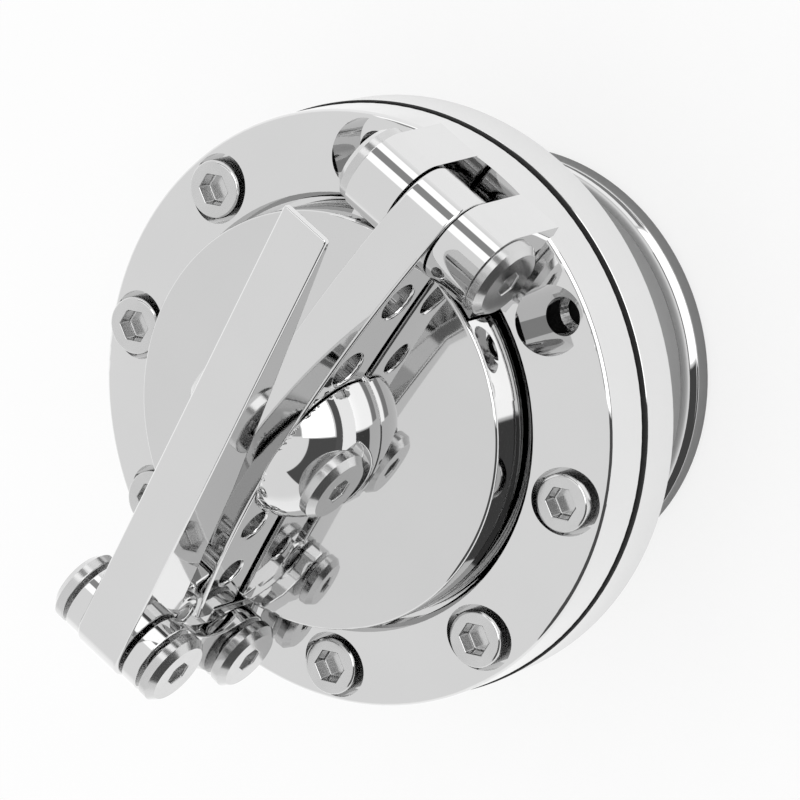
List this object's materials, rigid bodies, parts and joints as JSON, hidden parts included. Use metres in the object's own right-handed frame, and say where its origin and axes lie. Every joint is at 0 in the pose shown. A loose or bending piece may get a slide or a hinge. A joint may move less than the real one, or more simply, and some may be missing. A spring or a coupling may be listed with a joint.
{
  "type": "quick release fuel cap",
  "caption": "Round bolted flange on a filler neck with a hinged mirror lid, clamped shut by an arched arm, lever and links.",
  "frame": {"origin": "centre of the neck ring's top face, at the mouth of the filler neck's bore", "axes": "+Z out of the filler neck, +X to the hinge, so +Y along the hinge and the latch pins"},
  "size_m": [0.1023, 0.102, 0.1117],
  "materials": {
    "chrome": "mirror polished",
    "mirror_plate": "mirror polished, slightly domed",
    "neck_chrome": "turned and polished",
    "pivot_steel": "bright satin",
    "screw_steel": "satin",
    "satin_steel": "ground",
    "rubber": "matt"
  },
  "bodies": {
    "root": {"neck_ring": "chrome", "filler_neck": "neck_chrome", "neck_end_ring": "neck_chrome", "gasket": "rubber", "bezel": "chrome", "catch_hook": "chrome", "flange_screw_1": "screw_steel", "flange_screw_2": "screw_steel", "flange_screw_3": "screw_steel", "flange_screw_4": "screw_steel", "flange_screw_5": "screw_steel", "flange_screw_6": "screw_steel", "hinge_screw": "pivot_steel", "hinge_sleeve": "pivot_steel"},
    "arm": {"arm": "chrome", "fulcrum_dowel": "satin_steel", "lid_boss": "chrome", "boss_pivot_screw": "pivot_steel", "boss_pivot_sleeve": "pivot_steel", "lid": "mirror_plate", "lid_spigot": "chrome", "lid_seal": "rubber", "boss_washer": "satin_steel", "boss_fixing_screw": "screw_steel"},
    "lever": {"lever": "chrome", "lever_pin_screw": "pivot_steel", "lever_pin_sleeve": "pivot_steel"},
    "links": {"link_left": "chrome", "link_right": "chrome", "catch_pin_screw": "pivot_steel", "catch_pin_sleeve": "pivot_steel"}
  },
  "joints": [
    {"name": "arm_hinge", "type": "hinge", "parent": "root", "child": "arm", "pos_m": [0.0434, 0, 0.0224], "axis": [0, 1, 0], "range_deg": [0, 105]},
    {"name": "lever_lift", "type": "hinge", "parent": "arm", "child": "lever", "pos_m": [-0.035, 0, 0.0392], "axis": [0, -1, 0], "range_deg": [-14, 18]},
    {"name": "link_swing", "type": "hinge", "parent": "lever", "child": "links", "pos_m": [-0.0405, 0, 0.0449], "axis": [0, -1, 0], "range_deg": [-18, 14]}
  ],
  "couplings": [
    {"joint": "link_swing", "follows": "lever_lift", "ratio": -1}
  ]
}
